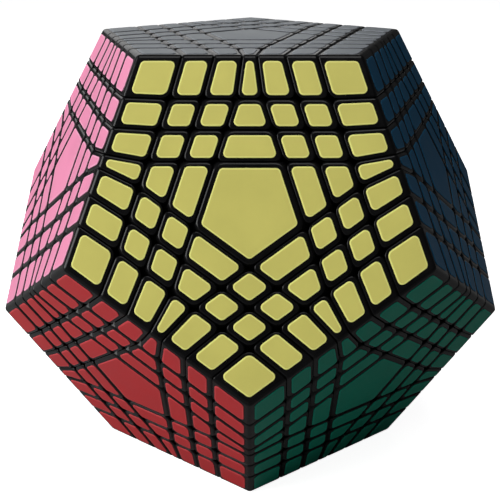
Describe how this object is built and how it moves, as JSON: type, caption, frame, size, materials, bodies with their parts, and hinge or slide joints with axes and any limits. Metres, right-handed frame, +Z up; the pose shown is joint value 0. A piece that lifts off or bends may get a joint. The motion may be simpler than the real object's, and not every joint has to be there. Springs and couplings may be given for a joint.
{
  "type": "dodecahedral twisty puzzle",
  "caption": "Twelve-sided twisty puzzle of black plastic pieces with coloured stickers, cut into parallel layers that turn about its faces, held together by screws and springs on a central hub",
  "frame": {"origin": "centre of the core hub, which is also the centre of the dodecahedron", "axes": "+Z up through the middle of the top face; -Y is the side that the yellow upper front face looks towards; +X to the right of it; the puzzle stands on its bottom face"},
  "size_m": [0.1362, 0.1432, 0.1158],
  "materials": {
    "black_plastic": "black moulded plastic with a soft gloss and rounded edges",
    "hub_plastic": "off-white nylon, matt",
    "steel": "plain bright steel screws and springs",
    "sticker_top": "dark grey vinyl sticker with a slightly lighter rim",
    "sticker_front_upper": "yellow vinyl sticker with a slightly lighter rim",
    "sticker_right_upper": "dark blue vinyl sticker with a slightly lighter rim",
    "sticker_back_right_upper": "orange vinyl sticker with a slightly lighter rim",
    "sticker_back_left_upper": "light green vinyl sticker with a slightly lighter rim",
    "sticker_left_upper": "pink vinyl sticker with a slightly lighter rim",
    "sticker_front_left_lower": "red vinyl sticker with a slightly lighter rim",
    "sticker_front_right_lower": "dark green vinyl sticker with a slightly lighter rim",
    "sticker_right_lower": "purple vinyl sticker with a slightly lighter rim",
    "sticker_back_lower": "cream vinyl sticker with a slightly lighter rim",
    "sticker_left_lower": "light blue vinyl sticker with a slightly lighter rim",
    "sticker_bottom": "white vinyl sticker with a slightly lighter rim"
  },
  "bodies": {
    "core_and_middle_band": {"core_hub": "hub_plastic", "middle_band": "black_plastic", "axle_screw_top": "steel", "axle_screw_front_upper": "steel", "axle_screw_right_upper": "steel", "axle_screw_back_right_upper": "steel", "axle_screw_back_left_upper": "steel", "axle_screw_left_upper": "steel", "axle_screw_front_left_lower": "steel", "axle_screw_front_right_lower": "steel", "axle_screw_right_lower": "steel", "axle_screw_back_lower": "steel", "axle_screw_left_lower": "steel", "axle_screw_bottom": "steel", "tension_spring_top": "steel", "tension_spring_front_upper": "steel", "tension_spring_right_upper": "steel", "tension_spring_back_right_upper": "steel", "tension_spring_back_left_upper": "steel", "tension_spring_left_upper": "steel", "tension_spring_front_left_lower": "steel", "tension_spring_front_right_lower": "steel", "tension_spring_right_lower": "steel", "tension_spring_back_lower": "steel", "tension_spring_left_lower": "steel", "tension_spring_bottom": "steel", "centre_piece_front_upper": "sticker_front_upper", "centre_piece_right_upper": "sticker_right_upper", "centre_piece_back_right_upper": "sticker_back_right_upper", "centre_piece_back_left_upper": "sticker_back_left_upper", "centre_piece_left_upper": "sticker_left_upper", "centre_piece_front_left_lower": "sticker_front_left_lower", "centre_piece_front_right_lower": "sticker_front_right_lower", "centre_piece_right_lower": "sticker_right_lower", "centre_piece_back_lower": "sticker_back_lower", "centre_piece_left_lower": "sticker_left_lower"},
    "top_outer": {"top_outer_layer": "black_plastic", "centre_piece_top": "sticker_top", "corner_piece_top_front_left": "black_plastic", "corner_piece_top_front_right": "black_plastic", "corner_piece_top_right": "black_plastic", "corner_piece_top_back": "black_plastic", "corner_piece_top_left": "black_plastic"},
    "top_second": {"top_second_layer": "black_plastic"},
    "top_third": {"top_third_layer": "black_plastic"},
    "bottom_third": {"bottom_third_layer": "black_plastic"},
    "bottom_second": {"bottom_second_layer": "black_plastic"},
    "bottom_outer": {"bottom_outer_layer": "black_plastic", "centre_piece_bottom": "sticker_bottom", "corner_piece_bottom_front": "black_plastic", "corner_piece_bottom_right": "black_plastic", "corner_piece_bottom_back_right": "black_plastic", "corner_piece_bottom_back_left": "black_plastic", "corner_piece_bottom_left": "black_plastic"}
  },
  "joints": [
    {"name": "top_outer_turn", "type": "hinge", "parent": "core_and_middle_band", "child": "top_outer", "pos_m": [0, 0, 0], "axis": [0, 0, 1], "continuous": true},
    {"name": "top_second_turn", "type": "hinge", "parent": "core_and_middle_band", "child": "top_second", "pos_m": [0, 0, 0], "axis": [0, 0, 1], "continuous": true},
    {"name": "top_third_turn", "type": "hinge", "parent": "core_and_middle_band", "child": "top_third", "pos_m": [0, 0, 0], "axis": [0, 0, 1], "continuous": true},
    {"name": "bottom_third_turn", "type": "hinge", "parent": "core_and_middle_band", "child": "bottom_third", "pos_m": [0, 0, 0], "axis": [0, 0, 1], "continuous": true},
    {"name": "bottom_second_turn", "type": "hinge", "parent": "core_and_middle_band", "child": "bottom_second", "pos_m": [0, 0, 0], "axis": [0, 0, 1], "continuous": true},
    {"name": "bottom_outer_turn", "type": "hinge", "parent": "core_and_middle_band", "child": "bottom_outer", "pos_m": [0, 0, 0], "axis": [0, 0, 1], "continuous": true}
  ]
}
